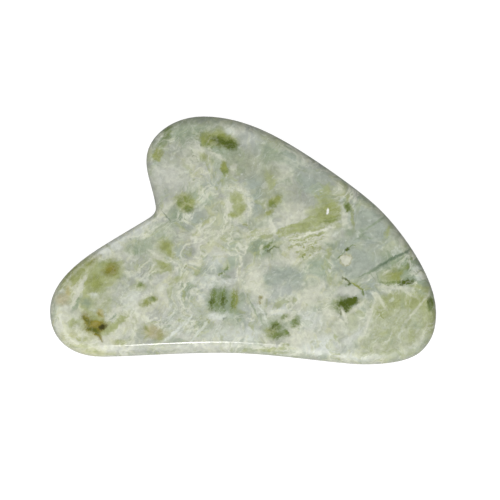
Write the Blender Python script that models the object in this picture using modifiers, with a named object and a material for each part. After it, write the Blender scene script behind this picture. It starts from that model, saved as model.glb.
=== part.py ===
"""A gua sha scraper: one flat board of polished pale green jade with two round lobes and a notch.

Units are metres. The board lies flat on the XY plane with +Z up. Its origin is below the middle of
its bounding box, on the face that it rests on. +X runs along its length, towards the broad end, and
+Y points from the long, slightly hollow scraping edge towards the upper lobe.
"""

import math

import bpy

MM = 0.001

# Driving dimensions
THICKNESS = 6.2 * MM
EDGE_RADIUS = 2.8 * MM  # the rounding between each flat face and the side
EDGE_SEGMENTS = 6
OUTLINE_STEPS = 12  # points along the curve between two knots

JADE_COLOUR = (0.47, 0.52, 0.40, 1.0)
JADE_ROUGHNESS = 0.12
JADE_IOR = 1.56

MERGE_DISTANCE = 0.01 * MM
FLAT_ANGLE = math.radians(0.05)
CREASE_ANGLE = math.radians(40)

# The outline, clockwise seen from above. Each knot is
# (what it is, x, y, heading in degrees, reach of the handle before it, reach of the handle after it).
# Places and reaches are in millimetres, and a heading of 0 runs towards +X.
OUTLINE = (
    ("top of the upper lobe", -8.8, 27.3, 0, 6.8, 7.4),
    ("shoulder", 11.0, 20.75, -31, 7.0, 5.0),
    ("long back edge", 29.3, 7.6, -42.5, 6.5, 7.0),
    ("tip of the broad end", 42.5, -15.8, -90, 7.8, 4.0),
    ("corner of the broad end", 39.5, -24.15, -134, 3.0, 3.2),
    ("foot of the broad end", 26.5, -27.3, 180, 6.0, 5.5),
    ("hollow of the scraping edge", -4.5, -24.75, 180, 11.0, 10.5),
    ("foot of the slim lobe", -31.0, -25.6, 180, 6.5, 7.0),
    ("tip of the slim lobe", -42.5, -15.6, 90, 6.2, 5.3),
    ("flank of the slim lobe", -33.6, -3.0, 35, 5.5, 4.0),
    ("lower side of the notch", -20.7, 4.95, 32, 4.0, 0.8),
    ("upper side of the notch", -19.2, 7.2, 97, 1.0, 4.0),
    ("side of the upper lobe", -21.3, 17.6, 90, 3.4, 5.3),
)


def clear_scene():
    for obj in list(bpy.data.objects):
        bpy.data.objects.remove(obj, do_unlink=True)


def polished_jade():
    material = bpy.data.materials.new("polished_jade")
    material.use_nodes = True
    shader = material.node_tree.nodes["Principled BSDF"]
    shader.inputs["Base Color"].default_value = JADE_COLOUR
    shader.inputs["Roughness"].default_value = JADE_ROUGHNESS
    shader.inputs["Metallic"].default_value = 0.0
    shader.inputs["IOR"].default_value = JADE_IOR
    return material


def outline_curve(name, knots):
    """A closed flat Bezier curve through the knots, filled on both sides."""
    curve = bpy.data.curves.new(name, "CURVE")
    curve.dimensions = "2D"
    curve.fill_mode = "BOTH"
    curve.resolution_u = OUTLINE_STEPS
    spline = curve.splines.new("BEZIER")
    spline.bezier_points.add(len(knots) - 1)
    spline.use_cyclic_u = True
    for point, (_, x, y, heading, before, after) in zip(spline.bezier_points, knots):
        along = (math.cos(math.radians(heading)), math.sin(math.radians(heading)))
        point.handle_left_type = "FREE"
        point.handle_right_type = "FREE"
        point.co = (x * MM, y * MM, 0)
        point.handle_left = ((x - before * along[0]) * MM, (y - before * along[1]) * MM, 0)
        point.handle_right = ((x + after * along[0]) * MM, (y + after * along[1]) * MM, 0)
    return curve


def scraper_board(collection):
    """The stone: the outline at its full thickness, with both rims ground round."""
    curve = outline_curve("scraper_board", OUTLINE)
    curve.extrude = THICKNESS / 2
    board = bpy.data.objects.new("scraper_board", curve)
    board.location.z = THICKNESS / 2
    board.data.materials.append(polished_jade())
    collection.objects.link(board)

    weld = board.modifiers.new("join the faces to the side", "WELD")
    weld.merge_threshold = MERGE_DISTANCE

    # The curve's fill is many triangles, which would fold over each other as the rounding narrows them
    flat = board.modifiers.new("make each flat face one polygon", "DECIMATE")
    flat.decimate_type = "DISSOLVE"
    flat.angle_limit = FLAT_ANGLE

    rim = board.modifiers.new("round the rims", "BEVEL")
    rim.width = EDGE_RADIUS
    rim.segments = EDGE_SEGMENTS
    rim.limit_method = "ANGLE"
    rim.angle_limit = CREASE_ANGLE
    rim.use_clamp_overlap = False  # the outline's short steps would hold the rounding back

    even = board.modifiers.new("cut the flat faces evenly", "TRIANGULATE")
    even.ngon_method = "BEAUTY"
    return board


def main():
    clear_scene()
    parts = bpy.data.collections.new("gua_sha_scraper")
    bpy.context.scene.collection.children.link(parts)
    scraper_board(parts)


main()
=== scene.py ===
"""The looks of a gua sha scraper: one board of polished, clouded pale green jade.

The board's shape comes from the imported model: its outline is the model's own, cut halfway up, and
its thickness is the model's. Lengths in the code are metres. The stone's pattern is laid out in
millimetres in the same frame: +X towards the broad end, +Y towards the upper lobe, +Z up.
"""

import math
from collections import namedtuple

import bmesh
import bpy
import numpy as np
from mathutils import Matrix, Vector, noise
from mathutils.geometry import delaunay_2d_cdt


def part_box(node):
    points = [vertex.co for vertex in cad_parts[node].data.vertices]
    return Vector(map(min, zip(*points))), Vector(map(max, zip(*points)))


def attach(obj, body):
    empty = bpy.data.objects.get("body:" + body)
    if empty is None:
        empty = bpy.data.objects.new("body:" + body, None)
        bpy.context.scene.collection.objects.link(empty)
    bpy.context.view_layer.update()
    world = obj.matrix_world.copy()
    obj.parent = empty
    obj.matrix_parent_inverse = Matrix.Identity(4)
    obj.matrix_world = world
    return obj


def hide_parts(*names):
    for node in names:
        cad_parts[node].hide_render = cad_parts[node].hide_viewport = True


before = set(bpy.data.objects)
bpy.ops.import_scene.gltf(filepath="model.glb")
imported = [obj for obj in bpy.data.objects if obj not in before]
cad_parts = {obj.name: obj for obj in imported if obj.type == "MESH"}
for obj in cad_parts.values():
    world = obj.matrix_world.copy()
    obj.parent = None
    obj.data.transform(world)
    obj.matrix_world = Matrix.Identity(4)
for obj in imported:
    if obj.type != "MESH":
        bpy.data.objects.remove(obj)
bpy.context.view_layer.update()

MM = 0.001
BOARD = "scraper_board"
SLOT = "polished_jade"
LOW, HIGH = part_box(BOARD)
THICKNESS = HIGH.z - LOW.z

# Shape of the board
RIM_RADIUS = 2.8 * MM  # the rounding between each flat face and the side
RIM_STEPS = 18
RIM_CROWDING = 1.3  # above 1, the steps are finer next to the flat face, where the highlight lies
OUTLINE_POINTS = 480
CURVE_STEP = 0.1  # for the curve through the outline's points, as a share of the way between two
SAME_PLACE = 0.001 * MM
FACE_GRID = 1.5 * MM  # spacing of the points inside each flat face
FACE_BLEND = 3 * FACE_GRID  # how far in from the rim the faces take up their own wander
FACE_WANDER = 0.03 * MM  # how far the hand-polished faces wander from flat
RIM_WANDER = 0.035 * MM
WANDER_LENGTH = 11 * MM
FACE_SEED = 8
RIM_SEED = 3

# The camera
FRAME_WIDTH = 110.13 * MM  # what the picture shows across, at the board's half height
FRAME_CENTRE = Vector((1.53, -2.11, 0)) * MM
CAMERA_HEIGHT = 0.62
SENSOR = 36

# The floor
FLOOR_SIZE = 12.0
FLOOR_DROP = 0.02 * MM  # how far it lies under the board
FLOOR_ALBEDO = 0.25
FLOOR_ROUGHNESS = 0.9
FLOOR_GLOW = 0.92  # its own light, which leaves it plain and hardly shadowed

# The lights. The strip stands where the rim's first 5 to 10 degrees of turn mirror it into the
# camera, and the glow around it fades the highlight's ends.
Softbox = namedtuple("Softbox", "name place target width height power")
SOFTBOXES = (
    Softbox("highlight strip", (-0.022, -0.120, 0.340), (-0.012, -0.023, 0), 0.016, 0.036, 0.06),
    Softbox("highlight glow", (-0.023, -0.121, 0.341), (-0.012, -0.023, 0), 0.034, 0.040, 0.045),
    Softbox("front box", (-0.15, -0.60, 0.55), (0, 0, 0), 0.7, 0.5, 1.0),
    Softbox("left box", (-0.55, 0.60, 0.18), (0, 0, 0), 0.5, 0.4, 1.2),
)

# The surroundings' brightness, as factors that change with the direction looked in, a unit vector
WORLD_STRENGTH = 0.88
OVERHEAD = {"start": 0.93, "end": 0.99, "low": 1.0, "high": 0.12}  # along Z
TO_THE_BACK = {"start": -0.4, "end": 0.5, "low": 1.15, "high": 0.55}  # along Y
UPWARDS = {"start": -0.2, "end": 0.75, "low": 0.42, "high": 1.35}  # along Z
TO_THE_SIDES = {"start": 0.25, "end": 0.9, "low": 1.1, "high": 0.5}  # along X, either way


def srgb(red, green, blue):
    """A colour given as it looks on a screen, from 0 to 255, in the renderer's linear units."""
    def linear(value):
        value /= 255
        return value / 12.92 if value <= 0.04045 else ((value + 0.055) / 1.055) ** 2.4
    return (linear(red), linear(green), linear(blue), 1.0)


# ---------------------------------------------------------------- the board's shape


def outline_of(node, height):
    """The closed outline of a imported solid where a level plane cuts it, in order, as flat points."""
    cut = bmesh.new()
    cut.from_mesh(node.data)
    bmesh.ops.remove_doubles(cut, verts=cut.verts, dist=SAME_PLACE)
    everything = cut.verts[:] + cut.edges[:] + cut.faces[:]
    bmesh.ops.bisect_plane(
        cut, geom=everything, plane_co=(0, 0, height), plane_no=(0, 0, 1), clear_inner=True, clear_outer=True
    )
    start = min(cut.verts, key=lambda v: v.co.x)
    loop = [start]
    edge = start.link_edges[0]
    while True:
        after = edge.other_vert(loop[-1])
        if after is start:
            break
        loop.append(after)
        edge = next(e for e in after.link_edges if e is not edge)
    points = np.array([v.co[:2] for v in loop])
    cut.free()
    x, y = points.T
    area = np.dot(x, np.roll(y, -1)) - np.dot(y, np.roll(x, -1))
    return points if area > 0 else points[::-1]


def evenly_spaced(points, count):
    """A smooth closed curve through the points, cut into equal steps."""
    before, after, beyond = np.roll(points, 1, 0), np.roll(points, -1, 0), np.roll(points, -2, 0)
    dense = []
    for t in np.arange(0, 1, CURVE_STEP):
        dense.append(
            0.5 * (2 * points + (after - before) * t
                   + (2 * before - 5 * points + 4 * after - beyond) * t ** 2
                   + (3 * points - before - 3 * after + beyond) * t ** 3)
        )
    curve = np.stack(dense, 1).reshape(-1, 2)
    curve = np.vstack([curve, curve[:1]])
    along = np.concatenate([[0], np.cumsum(np.linalg.norm(np.diff(curve, axis=0), axis=1))])
    wanted = np.linspace(0, along[-1], count, endpoint=False)
    return np.stack([np.interp(wanted, along, curve[:, k]) for k in (0, 1)], 1)


def outward(loop):
    """The unit normals of a closed counter-clockwise loop, pointing out."""
    run = np.roll(loop, -1, 0) - np.roll(loop, 1, 0)
    normal = np.stack([run[:, 1], -run[:, 0]], 1)
    return normal / np.linalg.norm(normal, axis=1, keepdims=True)


def wander(point, seed):
    """A smooth random number from 0 to 1 that changes over about WANDER_LENGTH."""
    return 0.5 + 0.5 * noise.noise(Vector(point) / WANDER_LENGTH + Vector((seed, 0, 0)))


def board_mesh(outline):
    """Both flat faces, slightly uneven from polishing by hand, joined by a full round rim."""
    mesh = bmesh.new()
    normals = outward(outline)
    turns = [math.radians(90) * (k / RIM_STEPS) ** RIM_CROWDING for k in range(RIM_STEPS + 1)]
    rings = []
    facing = []
    for side in (1, -1):
        for turn in turns if side > 0 else reversed(turns):
            inset = RIM_RADIUS * (1 - math.sin(turn))
            height = THICKNESS / 2 - RIM_RADIUS * (1 - math.cos(turn))
            ring = []
            for place, normal in zip(outline - inset * normals, normals):
                point = Vector((*place, LOW.z + THICKNESS / 2 + side * height))
                point.z -= side * RIM_WANDER * wander(point, RIM_SEED) * math.cos(turn)
                ring.append(mesh.verts.new(point))
                facing.append(Vector((*(math.sin(turn) * normal), side * math.cos(turn))))
            rings.append(ring)
    for upper, lower in zip(rings, rings[1:]):
        for k in range(len(upper)):
            after = (k + 1) % len(upper)
            mesh.faces.new((upper[k], lower[k], lower[after], upper[after]))
    for ring, side in ((rings[0], 1), (rings[-1], -1)):
        fill_face(mesh, ring, side)
    bmesh.ops.recalc_face_normals(mesh, faces=mesh.faces)
    made = bpy.data.meshes.new("jade_board")
    mesh.to_mesh(made)
    mesh.free()
    made.shade_smooth()
    # The rim's own normals, so that the highlight along it doesn't show the rings' short steps
    facing += [v.normal for v in made.vertices[len(facing):]]
    made.normals_split_custom_set_from_vertices(facing)
    return made


def fill_face(mesh, ring, side):
    """Fills a flat face with even triangles, and lets it wander from flat away from the rim."""
    border = [v.co.xy for v in ring]
    xs = np.arange(min(p.x for p in border), max(p.x for p in border), FACE_GRID)
    ys = np.arange(min(p.y for p in border), max(p.y for p in border), FACE_GRID)
    inner = [Vector((x + (row % 2) * FACE_GRID / 2, y)) for row, y in enumerate(ys) for x in xs]
    edge = np.array([p[:] for p in border])
    closest = [float(np.linalg.norm(edge - np.array(p[:]), axis=1).min()) for p in inner]
    inner = [p for p, gap in zip(inner, closest) if gap > FACE_GRID / 2]
    loop = list(range(len(border)))
    inside_loops = 1
    cut = delaunay_2d_cdt(border + inner, [], [loop], inside_loops, SAME_PLACE / 10)
    places, _, faces, sources = cut[:4]
    corners = []
    for place, source in zip(places, sources):
        if source and source[0] < len(ring):
            corners.append(ring[source[0]])
            continue
        gap = float(np.linalg.norm(edge - np.array(place[:]), axis=1).min())
        rise = min(1, gap / FACE_BLEND)
        point = Vector((*place, LOW.z + THICKNESS / 2 + side * THICKNESS / 2))
        rim_dip = RIM_WANDER * wander(point, RIM_SEED) * (1 - rise)
        face_dip = FACE_WANDER * wander(point, FACE_SEED) * rise
        point.z -= side * (rim_dip + face_dip)
        corners.append(mesh.verts.new(point))
    for face in faces:
        mesh.faces.new([corners[k] for k in face])


# ---------------------------------------------------------------- nodes


class Graph:
    """Adds shader nodes with their inputs, one call for each."""

    def __init__(self, tree):
        self.tree = tree

    def add(self, kind, inputs=(), **settings):
        node = self.tree.nodes.new("ShaderNode" + kind)
        for name, value in settings.items():
            setattr(node, name, value)
        for name, value in dict(inputs).items():
            if isinstance(value, bpy.types.NodeSocket):
                self.tree.links.new(value, node.inputs[name])
            else:
                node.inputs[name].default_value = value
        return node

    def math(self, operation, first, second=0.0):
        return self.add("Math", {0: first, 1: second}, operation=operation).outputs[0]

    def vector(self, operation, first, second=(0, 0, 0)):
        made = self.add("VectorMath", {0: first, 1: second}, operation=operation)
        return made.outputs["Value" if operation == "LENGTH" else "Vector"]

    def scaled(self, vector, scale):
        return self.add("VectorMath", {0: vector, 3: scale}, operation="SCALE").outputs["Vector"]

    def ramp(self, value, start, end, low=0.0, high=1.0):
        """low up to start, high from end, and an S-shaped change between them."""
        inputs = {"Value": value, "From Min": start, "From Max": end, "To Min": low, "To Max": high}
        return self.add("MapRange", inputs, interpolation_type="SMOOTHSTEP").outputs["Result"]

    def noise(self, place, scale, detail, roughness=0.5, output="Fac"):
        inputs = {"Vector": place, "Scale": scale, "Detail": detail, "Roughness": roughness}
        return self.add("TexNoise", inputs).outputs[output]

    def threads(self, place, scale, detail, width):
        """Thin crooked lines: 1 where the noise passes its middle value, 0 away from there."""
        value = self.noise(place, scale, detail, roughness=0.6)
        away = self.math("ABSOLUTE", self.math("SUBTRACT", value, 0.5))
        return self.ramp(away, width, 0.0)

    def mix(self, factor, under, over, blend="MIX"):
        made = self.add("Mix", {0: factor, 6: under, 7: over}, data_type="RGBA", blend_type=blend)
        return made.outputs[2]


# ---------------------------------------------------------------- the stone

BLACK = (0, 0, 0, 1)
WHITE = (1, 1, 1, 1)
SNOW = srgb(246, 247, 243)
MILK = srgb(220, 225, 216)
CREAM = srgb(208, 210, 192)
IVORY = srgb(219, 221, 203)
STRAW = srgb(198, 200, 156)
PEARL = srgb(196, 199, 187)
CELADON = srgb(176, 184, 160)
MINT = srgb(165, 179, 156)
MIST = srgb(162, 172, 160)
PALE_MIST = srgb(183, 189, 180)
LAVENDER = srgb(161, 165, 155)
GREEN_GREY = srgb(158, 164, 140)
SAGE = srgb(146, 160, 134)
SLATE = srgb(118, 129, 110)
LIME = srgb(184, 190, 160)
PALE_OLIVE = srgb(163, 171, 118)
OLIVE = srgb(142, 150, 78)
MOSS = srgb(108, 126, 60)
VEIN_GREEN = srgb(100, 120, 94)
DEEP = srgb(76, 91, 14)
BLACK_GREEN = srgb(52, 50, 6)
BRONZE = srgb(126, 120, 32)
GOLD = srgb(158, 148, 66)
OCHRE = srgb(178, 170, 112)
TAN = srgb(176, 168, 134)

Patch = namedtuple("Patch", "tint x y long wide turn soft strength")

# In the tables below, a patch's place and its two half lengths are in millimetres, its turn is in
# degrees, and soft says how far its edge fades to each side, as a share of the half length.

# Broad tones of the stone, in order, with painted shade on the rims in three of them: at the top edge, at
# the right tip and on the lower rim.
ZONES = (
    # the upper lobe
    # along the top edge: partly the stone's darker tone, partly painted shade over the rim
    Patch(SLATE, -9.0, 26.4, 10.5, 2.2, 2, 0.8, 0.42),
    Patch(SLATE, -18.6, 22.8, 4.0, 1.3, 50, 0.8, 0.2),
    Patch(SAGE, -12.5, 23.3, 4.6, 2.2, 0, 0.7, 0.75),
    Patch(LAVENDER, -13.5, 19.2, 3.6, 2.2, 0, 0.7, 0.7),
    Patch(PEARL, -9.4, 16.5, 1.9, 3.2, 20, 0.7, 0.6),
    Patch(SAGE, -7.0, 20.0, 3.2, 1.1, -12, 0.6, 0.7),
    Patch(SLATE, -9.5, 21.6, 3.6, 1.6, 0, 0.8, 0.45),
    Patch(SAGE, -2.3, 18.9, 3.0, 1.3, -25, 0.7, 0.5),
    Patch(PALE_MIST, 2.4, 21.5, 3.6, 2.0, -25, 0.6, 0.85),
    Patch(MILK, -3.1, 24.0, 1.8, 0.7, -15, 0.6, 0.6),
    Patch(SAGE, 6.6, 19.0, 3.6, 2.6, -25, 0.6, 0.75),
    Patch(GREEN_GREY, -0.5, 17.0, 3.4, 2.6, 0, 0.7, 0.75),
    Patch(LIME, 6.2, 22.0, 2.8, 1.1, -30, 0.7, 0.6),
    Patch(MIST, 11.2, 17.2, 3.2, 1.6, -35, 0.7, 0.7),
    Patch(PEARL, 8.4, 16.3, 2.2, 0.9, -15, 0.6, 0.7),
    Patch(PEARL, -16.2, 13.8, 4.4, 3.2, 0, 0.6, 0.85),
    Patch(CREAM, -12.4, 17.2, 1.9, 0.9, -35, 0.6, 0.6),
    Patch(LAVENDER, -18.2, 10.4, 1.5, 3.0, 10, 0.7, 0.35),
    Patch(MINT, -9.0, 9.4, 2.4, 2.4, 0, 0.7, 0.7),
    Patch(MIST, -6.6, 12.6, 2.4, 1.7, 20, 0.6, 0.7),
    Patch(MIST, 2.5, 9.2, 1.9, 3.4, 8, 0.4, 0.9),
    Patch(MIST, 2.8, 12.8, 2.6, 1.6, 15, 0.6, 0.85),
    Patch(LAVENDER, 12.0, 9.2, 2.2, 2.8, 20, 0.6, 0.75),
    Patch(MIST, 14.4, 12.4, 3.0, 1.8, -35, 0.5, 0.85),
    Patch(MIST, 17.0, 14.8, 3.2, 1.3, -38, 0.7, 0.6),
    Patch(MINT, 16.4, 10.4, 2.2, 1.2, -20, 0.7, 0.6),
    Patch(GREEN_GREY, -9.9, 18.6, 2.2, 2.0, 0, 0.7, 0.95),
    Patch(PEARL, -6.6, 14.8, 1.6, 1.6, 0, 0.7, 0.7),
    Patch(GREEN_GREY, 5.9, 14.6, 2.4, 2.0, 0, 0.7, 0.85),
    Patch(GREEN_GREY, 5.9, 10.6, 2.2, 1.6, 0, 0.7, 0.7),
    Patch(GREEN_GREY, 5.9, 6.9, 2.0, 1.6, 0, 0.7, 0.75),
    # across the middle
    Patch(CELADON, -18.3, 2.7, 3.4, 1.2, 5, 0.4, 0.85),
    Patch(MIST, -10.2, 4.4, 1.7, 2.0, 0, 0.6, 0.85),
    Patch(SAGE, -14.6, 5.4, 2.4, 1.3, -20, 0.7, 0.6),
    Patch(LIME, -6.0, 2.8, 3.4, 3.0, 10, 0.7, 0.65),
    Patch(CREAM, -10.4, 1.6, 2.2, 1.1, 50, 0.6, 0.75),
    Patch(CREAM, 3.4, 1.8, 3.6, 0.9, 8, 0.6, 0.7),
    Patch(CREAM, 10.8, 6.4, 3.2, 1.3, 22, 0.5, 0.55),
    Patch(CREAM, 14.4, 0.2, 5.4, 1.9, 10, 0.5, 0.9),
    Patch(CREAM, 11.4, -3.2, 4.0, 2.0, 0, 0.4, 0.9),
    Patch(CELADON, 1.8, -4.0, 2.3, 1.5, 0, 0.4, 0.9),
    Patch(LAVENDER, 1.4, -4.2, 1.8, 1.2, -10, 0.5, 0.6),
    Patch(PEARL, 6.8, -4.9, 2.2, 0.8, 5, 0.5, 0.7),
    Patch(SAGE, 4.0, -1.6, 2.6, 1.9, 0, 0.5, 0.9),
    Patch(MINT, 16.6, -6.4, 3.8, 2.2, 10, 0.6, 0.85),
    Patch(CREAM, -6.0, -1.4, 5.5, 2.0, -15, 0.7, 0.65),
    Patch(LAVENDER, -11.9, -2.4, 1.4, 2.2, 0, 0.5, 0.8),
    Patch(MIST, -14.0, -3.0, 1.3, 1.7, 0, 0.6, 0.7),
    Patch(MINT, -2.8, -5.2, 2.6, 1.2, 45, 0.6, 0.75),
    Patch(MIST, -6.4, -6.6, 2.4, 1.6, 0, 0.7, 0.7),
    Patch(MILK, -8.0, -8.6, 3.0, 0.9, 10, 0.6, 0.6),
    Patch(CREAM, 15.0, 4.0, 8.2, 3.2, 17, 0.2, 0.6),
    Patch(MILK, -22.2, 3.0, 3.0, 1.4, 30, 0.7, 0.8),
    Patch(MILK, -6.0, -4.6, 2.0, 1.6, 0, 0.7, 0.6),
    Patch(MINT, -2.0, -1.0, 2.0, 1.6, 0, 0.7, 0.6),
    # below the middle
    Patch(MIST, 9.2, -8.6, 4.4, 2.7, 3, 0.35, 0.9),
    Patch(PALE_MIST, 8.2, -12.4, 3.2, 3.0, -10, 0.5, 0.9),
    Patch(CREAM, 2.2, -9.0, 2.3, 3.2, 10, 0.4, 0.85),
    Patch(CREAM, 4.2, -12.4, 1.1, 2.0, 0, 0.4, 0.8),
    Patch(PALE_MIST, 1.2, -16.8, 2.8, 3.8, -10, 0.6, 0.85),
    Patch(MILK, 7.4, -15.6, 2.4, 1.0, 10, 0.6, 0.6),
    Patch(CREAM, 14.6, -12.6, 3.4, 2.0, 40, 0.6, 0.8),
    Patch(IVORY, 12.2, -21.8, 2.1, 2.3, 0, 0.6, 0.85),
    Patch(MILK, 17.4, -23.0, 4.0, 2.1, 5, 0.5, 0.95),
    Patch(MILK, 24.0, -21.6, 2.0, 3.2, -10, 0.6, 0.75),
    Patch(LAVENDER, 15.6, -26.0, 2.6, 0.8, -4, 0.6, 0.6),
    Patch(PALE_MIST, -9.2, -12.6, 1.9, 3.6, -10, 0.6, 0.85),
    Patch(MILK, -5.0, -16.4, 2.6, 1.0, 0, 0.5, 0.7),
    Patch(SAGE, -4.3, -13.4, 2.9, 2.6, -8, 0.5, 0.9),
    Patch(SAGE, -1.6, -16.0, 1.6, 2.0, 0, 0.7, 0.7),
    Patch(PEARL, -13.6, -16.6, 2.8, 4.0, -35, 0.7, 0.4),
    Patch(SAGE, -9.4, -19.0, 2.8, 1.8, 0, 0.8, 0.6),
    Patch(SAGE, -2.0, -17.0, 1.8, 1.6, 0, 0.7, 0.6),
    Patch(MILK, -3.0, -20.8, 6.0, 1.7, 0, 0.6, 0.6),
    Patch(MILK, 2.0, -20.8, 2.0, 1.8, 0, 0.7, 0.7),
    Patch(CELADON, 5.9, -25.0, 2.4, 1.0, 0, 0.7, 0.8),
    # the broad end
    Patch(MIST, 27.6, 3.0, 6.6, 3.4, -48, 0.35, 0.85),
    Patch(MIST, 24.6, -1.6, 4.2, 2.6, 0, 0.4, 0.8),
    Patch(MIST, 26.6, -5.6, 5.2, 2.4, 20, 0.4, 0.85),
    Patch(SAGE, 34.0, -4.6, 4.6, 2.6, -50, 0.6, 0.95),
    Patch(MIST, 27.4, -10.4, 1.8, 2.4, 0, 0.5, 0.9),
    Patch(MIST, 37.6, -6.8, 1.8, 2.2, 0, 0.6, 0.6),
    Patch(SAGE, 33.6, -7.6, 3.8, 2.2, -10, 0.6, 0.85),
    Patch(LIME, 31.4, -1.4, 2.6, 1.4, 10, 0.7, 0.5),
    Patch(LIME, 33.6, -18.4, 7.8, 6.2, 35, 0.3, 0.9),
    Patch(PALE_OLIVE, 34.6, -13.2, 4.8, 1.9, 0, 0.4, 0.8),
    Patch(PALE_OLIVE, 30.6, -15.0, 2.4, 2.2, 0, 0.6, 0.6),
    Patch(PALE_OLIVE, 41.2, -15.6, 2.0, 5.6, 0, 0.6, 0.85),
    Patch(SAGE, 40.0, -9.4, 1.8, 2.6, 20, 0.7, 0.7),
    Patch(MIST, 21.0, -5.2, 2.0, 1.8, 0, 0.7, 0.8),
    Patch(SAGE, 37.0, -5.0, 2.2, 1.8, 0, 0.7, 0.8),
    Patch(SAGE, 34.0, -9.2, 2.4, 1.6, 0, 0.7, 0.7),
    Patch(SAGE, 37.9, -9.8, 2.0, 2.0, 0, 0.7, 0.8),
    Patch(PALE_OLIVE, 38.0, -13.0, 2.2, 1.8, 0, 0.7, 0.8),
    # painted shade: darker grey-green over the rim of the right tip
    Patch(SAGE, 42.2, -12.4, 1.2, 3.0, 10, 0.7, 0.9),
    Patch(CELADON, 38.2, -24.6, 3.6, 1.8, 40, 0.7, 0.9),
    Patch(MILK, 25.6, -25.0, 3.4, 1.4, 0, 0.7, 0.8),
    Patch(MILK, 26.0, -19.0, 1.8, 3.4, -10, 0.7, 0.55),
    # painted shade: a darker band inside the lower rim, in place of the darker reflection that the rim shows
    # there
    Patch(CELADON, 10.0, -25.2, 6.0, 0.9, -4, 0.6, 0.7),
    Patch(LIME, 28.0, -23.2, 4.0, 2.2, 0, 0.6, 0.7),
    # the slim lobe
    Patch(SAGE, -22.0, -2.0, 3.8, 1.3, 5, 0.5, 0.65),
    Patch(LAVENDER, -22.6, -4.8, 2.6, 1.4, 0, 0.6, 0.45),
    Patch(LAVENDER, -21.6, -7.1, 2.6, 1.2, 0, 0.6, 0.8),
    Patch(PALE_OLIVE, -19.0, -6.4, 2.4, 1.0, 30, 0.6, 0.5),
    Patch(PEARL, -26.6, -3.6, 3.6, 1.0, -8, 0.5, 0.8),
    Patch(MILK, -28.6, -1.0, 4.4, 1.3, 33, 0.6, 0.85),
    Patch(LAVENDER, -32.8, -12.2, 2.2, 1.2, 0, 0.7, 0.5),
    Patch(STRAW, -35.6, -9.8, 4.6, 3.6, 60, 0.7, 0.7),
    Patch(STRAW, -33.4, -20.0, 4.6, 2.6, 0, 0.8, 0.6),
    Patch(MILK, -24.4, -13.0, 1.4, 2.4, -20, 0.6, 0.6),
    Patch(LAVENDER, -19.6, -16.0, 2.6, 1.8, 20, 0.7, 0.7),
    Patch(IVORY, -25.0, -17.4, 4.6, 2.2, 35, 0.7, 0.8),
    Patch(IVORY, -39.6, -17.4, 1.9, 3.6, 0, 0.6, 0.9),
    Patch(CREAM, -36.6, -15.8, 1.2, 2.0, -35, 0.6, 0.6),
    Patch(STRAW, -36.6, -22.2, 3.4, 2.0, -20, 0.6, 0.85),
    Patch(IVORY, -31.4, -22.8, 2.8, 1.4, 0, 0.6, 0.9),
    Patch(STRAW, -27.8, -22.2, 2.0, 0.8, -10, 0.6, 0.8),
    Patch(STRAW, -33.0, -24.8, 4.4, 1.2, -5, 0.7, 0.85),
    Patch(LAVENDER, -20.6, -24.2, 3.4, 0.8, 0, 0.7, 0.7),
)

# Where the stone is clear, with few white threads
CALM = (
    Patch(BLACK, 27.0, 0.0, 9.0, 7.0, -40, 0.4, 0.75),
    Patch(BLACK, 9.0, -9.0, 5.0, 3.5, 0, 0.4, 0.8),
    Patch(BLACK, 34.0, -18.0, 8.0, 7.0, 35, 0.4, 0.7),
    Patch(BLACK, -9.0, 25.0, 11.0, 2.5, 0, 0.5, 0.7),
    Patch(BLACK, 8.0, 14.0, 14.0, 6.0, -35, 0.5, 0.8),
    Patch(BLACK, -22.0, -2.0, 5.0, 2.0, 0, 0.5, 0.6),
    Patch(BLACK, -17.0, 15.0, 5.0, 6.0, 0, 0.5, 0.7),
    Patch(BLACK, -4.0, -13.0, 4.6, 3.4, 0, 0.4, 0.9),
    Patch(BLACK, -24.0, -11.0, 5.0, 6.0, 0, 0.5, 0.4),
    Patch(BLACK, 15.0, 4.4, 8.0, 3.4, 17, 0.3, 0.9),
)

# Striped crystals, whose stripes run along a turn of STRIPE_TURN
CRYSTALS = (
    Patch(PALE_OLIVE, 11.0, 2.4, 4.0, 1.15, 15, 0.15, 0.95),
    Patch(PALE_OLIVE, 15.6, 3.8, 4.6, 1.7, 17, 0.15, 0.95),
    Patch(PALE_OLIVE, 18.6, 6.4, 2.9, 3.0, 20, 0.2, 0.9),
    Patch(OLIVE, 19.0, 5.6, 2.4, 2.0, 22, 0.4, 0.4),
    Patch(OLIVE, 19.4, 7.6, 1.8, 1.2, 20, 0.5, 0.45),
    Patch(PALE_OLIVE, 15.0, 6.4, 1.4, 1.1, 0, 0.5, 0.7),
    Patch(PALE_OLIVE, 17.6, 9.7, 1.8, 0.7, 12, 0.5, 0.8),
    Patch(MOSS, 19.4, 4.4, 2.4, 0.5, 16, 0.6, 0.5),
    Patch(PALE_OLIVE, 13.6, 0.7, 4.4, 0.24, 12, 0.5, 0.7),
    Patch(PALE_OLIVE, 12.2, 1.0, 3.4, 0.16, 12, 0.5, 0.5),
    Patch(PALE_OLIVE, 14.8, -1.9, 2.4, 0.35, 12, 0.6, 0.8),
    Patch(PALE_OLIVE, 14.0, -3.0, 2.0, 0.5, 25, 0.6, 0.6),
    Patch(OLIVE, 11.3, -1.2, 1.4, 0.26, 28, 0.5, 0.8),
)

# Bands of fine ribs beside the crystals, with the same turn
RIBS = (
    Patch(PALE_OLIVE, 14.0, 0.2, 4.6, 1.6, 14, 0.4, 0.95),
    Patch(OLIVE, 14.6, -2.4, 2.6, 1.8, 20, 0.5, 0.8),
    Patch(PALE_OLIVE, 17.6, 10.0, 2.2, 1.0, 12, 0.5, 0.8),
    Patch(PALE_OLIVE, 3.6, 0.9, 3.6, 1.0, 10, 0.6, 0.6),
)

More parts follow.
